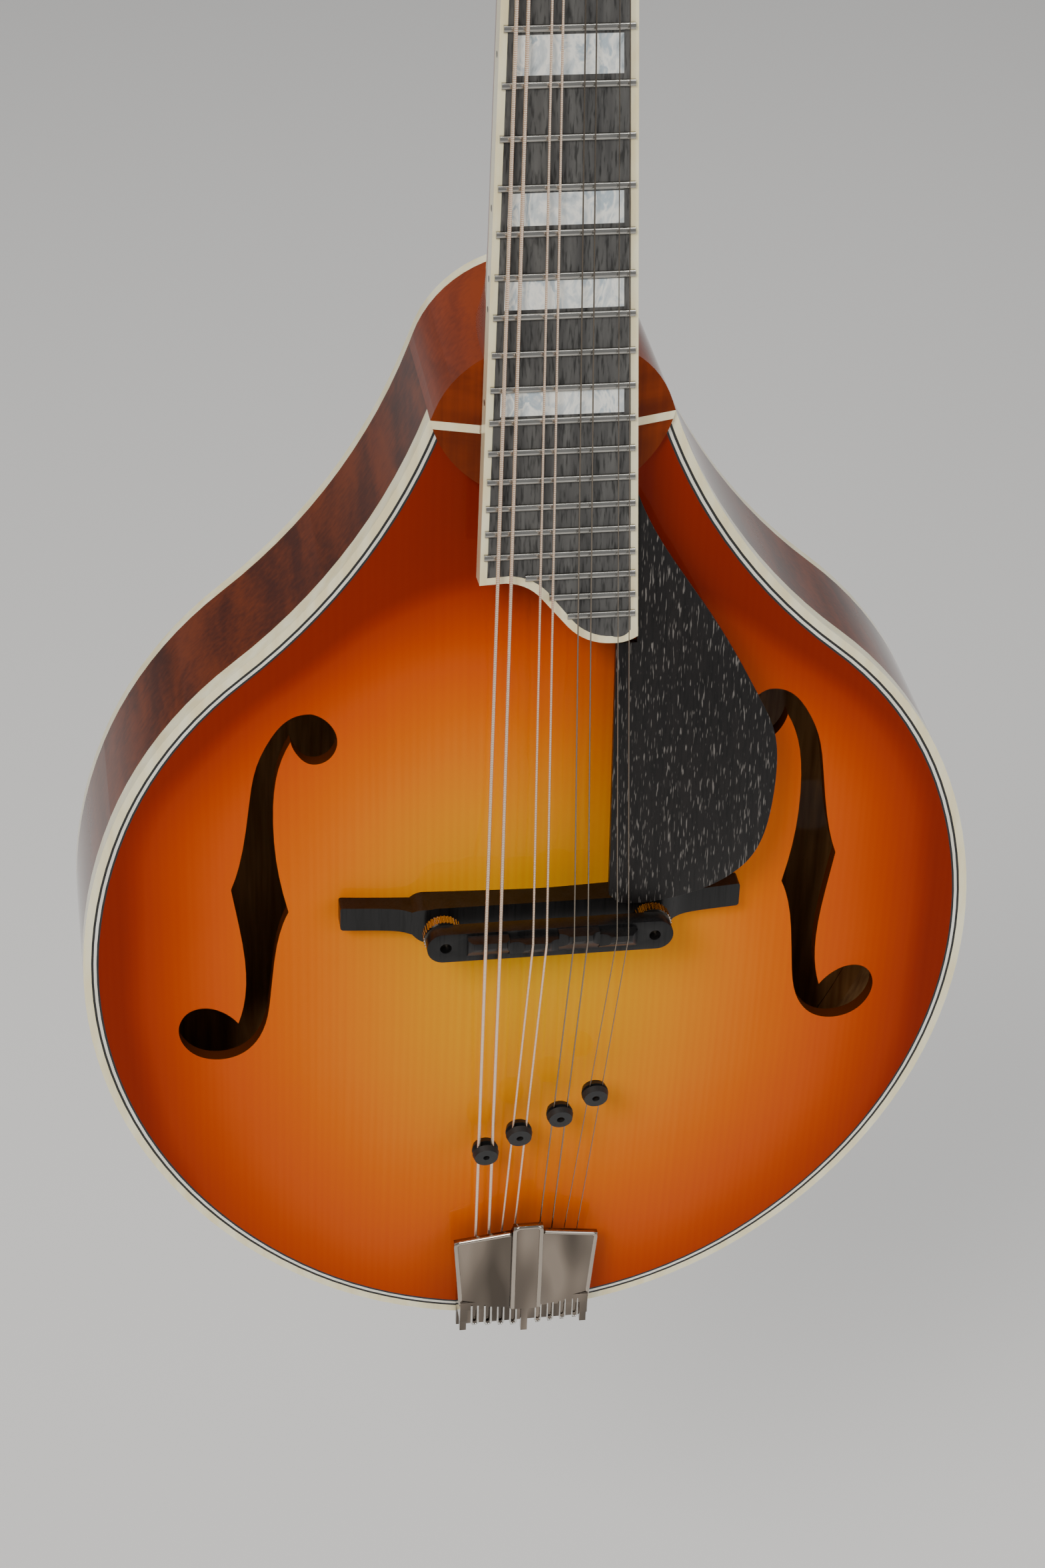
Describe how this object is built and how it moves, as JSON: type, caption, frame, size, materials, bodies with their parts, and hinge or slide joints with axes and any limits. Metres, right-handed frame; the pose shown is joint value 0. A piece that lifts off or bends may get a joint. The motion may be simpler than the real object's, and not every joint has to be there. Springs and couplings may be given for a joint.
{
  "type": "mandolin",
  "caption": "Teardrop arched-top mandolin with carved plates, f-holes, paired strings, floating adjustable bridge, raised fingerboard and geared tuners.",
  "frame": {"origin": "centre of the strap button's head at the tail, on the middle plane of the sides", "axes": "+X across the body towards the treble strings, +Y from the front to the back, +Z along the body towards the head"},
  "size_m": [0.2564, 0.1121, 0.6797],
  "materials": {
    "spruce_top": "gloss lacquer sunburst",
    "maple_body": "gloss lacquer",
    "inner_wood": "bare",
    "ivory_binding": "gloss lacquer",
    "purfling": "gloss lacquer",
    "neck_wood": "gloss lacquer",
    "ebony": "satin",
    "pearl": "polished shell",
    "dark_dots": "flat",
    "fret_metal": "polished",
    "bone": "polished",
    "steel": "plain",
    "black_plastic": "gloss",
    "nickel": "polished",
    "black_rubber": "matte",
    "bronze_string": "wound",
    "steel_string": "plain",
    "tuner_button": "pearloid"
  },
  "bodies": {
    "body": {"top_plate": "spruce_top", "back_plate": "maple_body", "ribs": "maple_body", "head_block": "inner_wood", "tail_block": "inner_wood", "top_lining": "inner_wood", "back_lining": "inner_wood", "tone_bars": "inner_wood", "top_binding": "ivory_binding", "top_purfling": "purfling", "back_binding": "ivory_binding", "joint_strip": "ivory_binding", "neck": "neck_wood", "fingerboard": "ebony", "position_inlays": "pearl", "fingerboard_binding": "ivory_binding", "side_dots": "dark_dots", "frets": "fret_metal", "nut": "bone", "truss_rod": "steel", "headstock_binding": "ivory_binding", "headstock_overlay": "ebony", "truss_rod_cover": "black_plastic", "truss_cover_screws": "nickel", "tuner_plate_bass": "nickel", "tuner_plate_treble": "nickel", "plate_screws": "nickel", "post_bushings": "nickel", "bridge_base": "ebony", "bridge_posts": "nickel", "tailpiece": "nickel", "tailpiece_screws": "nickel", "strap_button": "nickel", "string_dampers": "black_rubber", "pickguard": "ebony", "pickguard_support": "ebony", "strings_g": "bronze_string", "strings_d": "bronze_string", "strings_a": "steel_string", "strings_e": "steel_string"},
    "saddle": {"bridge_saddle": "ebony"},
    "wheel_bass": {"thumbwheel_bass": "nickel"},
    "wheel_treble": {"thumbwheel_treble": "nickel"},
    "rod_nut": {"truss_rod_nut": "steel"},
    "key_bass_1": {"tuner_key_bass_1": "tuner_button"},
    "post_bass_1": {"tuner_post_bass_1": "nickel"},
    "key_bass_2": {"tuner_key_bass_2": "tuner_button"},
    "post_bass_2": {"tuner_post_bass_2": "nickel"},
    "key_bass_3": {"tuner_key_bass_3": "tuner_button"},
    "post_bass_3": {"tuner_post_bass_3": "nickel"},
    "key_bass_4": {"tuner_key_bass_4": "tuner_button"},
    "post_bass_4": {"tuner_post_bass_4": "nickel"},
    "key_treble_1": {"tuner_key_treble_1": "tuner_button"},
    "post_treble_1": {"tuner_post_treble_1": "nickel"},
    "key_treble_2": {"tuner_key_treble_2": "tuner_button"},
    "post_treble_2": {"tuner_post_treble_2": "nickel"},
    "key_treble_3": {"tuner_key_treble_3": "tuner_button"},
    "post_treble_3": {"tuner_post_treble_3": "nickel"},
    "key_treble_4": {"tuner_key_treble_4": "tuner_button"},
    "post_treble_4": {"tuner_post_treble_4": "nickel"}
  },
  "joints": [
    {"name": "key_bass_1_turn", "type": "hinge", "parent": "body", "child": "key_bass_1", "pos_m": [-0.017, 0.02251, 0.57381], "axis": [-1, 0, 0], "continuous": true},
    {"name": "post_bass_1_turn", "type": "hinge", "parent": "body", "child": "post_bass_1", "pos_m": [-0.017, 0.00268, 0.57262], "axis": [0, 0.9426, -0.3338], "continuous": true},
    {"name": "key_bass_2_turn", "type": "hinge", "parent": "body", "child": "key_bass_2", "pos_m": [-0.017, 0.03019, 0.5955], "axis": [-1, 0, 0], "continuous": true},
    {"name": "post_bass_2_turn", "type": "hinge", "parent": "body", "child": "post_bass_2", "pos_m": [-0.017, 0.01035, 0.5943], "axis": [0, 0.9426, -0.3338], "continuous": true},
    {"name": "key_bass_3_turn", "type": "hinge", "parent": "body", "child": "key_bass_3", "pos_m": [-0.017, 0.03787, 0.61718], "axis": [-1, 0, 0], "continuous": true},
    {"name": "post_bass_3_turn", "type": "hinge", "parent": "body", "child": "post_bass_3", "pos_m": [-0.017, 0.01803, 0.61598], "axis": [0, 0.9426, -0.3338], "continuous": true},
    {"name": "key_bass_4_turn", "type": "hinge", "parent": "body", "child": "key_bass_4", "pos_m": [-0.017, 0.04555, 0.63886], "axis": [-1, 0, 0], "continuous": true},
    {"name": "post_bass_4_turn", "type": "hinge", "parent": "body", "child": "post_bass_4", "pos_m": [-0.017, 0.02571, 0.63766], "axis": [0, 0.9426, -0.3338], "continuous": true},
    {"name": "key_treble_1_turn", "type": "hinge", "parent": "body", "child": "key_treble_1", "pos_m": [0.017, 0.02251, 0.57381], "axis": [1, 0, 0], "continuous": true},
    {"name": "post_treble_1_turn", "type": "hinge", "parent": "body", "child": "post_treble_1", "pos_m": [0.017, 0.00268, 0.57262], "axis": [0, 0.9426, -0.3338], "continuous": true},
    {"name": "key_treble_2_turn", "type": "hinge", "parent": "body", "child": "key_treble_2", "pos_m": [0.017, 0.03019, 0.5955], "axis": [1, 0, 0], "continuous": true},
    {"name": "post_treble_2_turn", "type": "hinge", "parent": "body", "child": "post_treble_2", "pos_m": [0.017, 0.01035, 0.5943], "axis": [0, 0.9426, -0.3338], "continuous": true},
    {"name": "key_treble_3_turn", "type": "hinge", "parent": "body", "child": "key_treble_3", "pos_m": [0.017, 0.03787, 0.61718], "axis": [1, 0, 0], "continuous": true},
    {"name": "post_treble_3_turn", "type": "hinge", "parent": "body", "child": "post_treble_3", "pos_m": [0.017, 0.01803, 0.61598], "axis": [0, 0.9426, -0.3338], "continuous": true},
    {"name": "key_treble_4_turn", "type": "hinge", "parent": "body", "child": "key_treble_4", "pos_m": [0.017, 0.04555, 0.63886], "axis": [1, 0, 0], "continuous": true},
    {"name": "post_treble_4_turn", "type": "hinge", "parent": "body", "child": "post_treble_4", "pos_m": [0.017, 0.02571, 0.63766], "axis": [0, 0.9426, -0.3338], "continuous": true},
    {"name": "saddle_lift", "type": "slide", "parent": "body", "child": "saddle", "axis": [0, -1, 0], "range_m": [-0.0009, 0.0015], "deforming": ["strings_g", "strings_d", "strings_a", "strings_e"]},
    {"name": "wheel_bass_turn", "type": "hinge", "parent": "saddle", "child": "wheel_bass", "pos_m": [-0.0293, -0.047, 0.1686], "axis": [0, -1, 0], "range_deg": [-420, 700]},
    {"name": "wheel_treble_turn", "type": "hinge", "parent": "saddle", "child": "wheel_treble", "pos_m": [0.0293, -0.047, 0.1686], "axis": [0, -1, 0], "range_deg": [-420, 700]},
    {"name": "rod_nut_turn", "type": "hinge", "parent": "body", "child": "rod_nut", "pos_m": [0, -0.0053, 0.53043], "axis": [0, 0.1132, 0.9936], "range_deg": [-180, 180]}
  ],
  "couplings": [
    {"joint": "post_bass_1_turn", "follows": "key_bass_1_turn", "ratio": -0.0625},
    {"joint": "post_bass_2_turn", "follows": "key_bass_2_turn", "ratio": -0.0625},
    {"joint": "post_bass_3_turn", "follows": "key_bass_3_turn", "ratio": -0.0625},
    {"joint": "post_bass_4_turn", "follows": "key_bass_4_turn", "ratio": -0.0625},
    {"joint": "post_treble_1_turn", "follows": "key_treble_1_turn", "ratio": 0.0625},
    {"joint": "post_treble_2_turn", "follows": "key_treble_2_turn", "ratio": 0.0625},
    {"joint": "post_treble_3_turn", "follows": "key_treble_3_turn", "ratio": 0.0625},
    {"joint": "post_treble_4_turn", "follows": "key_treble_4_turn", "ratio": 0.0625},
    {"joint": "wheel_bass_turn", "follows": "saddle_lift", "rad_per_m": 7854},
    {"joint": "wheel_treble_turn", "follows": "saddle_lift", "rad_per_m": 7854}
  ]
}
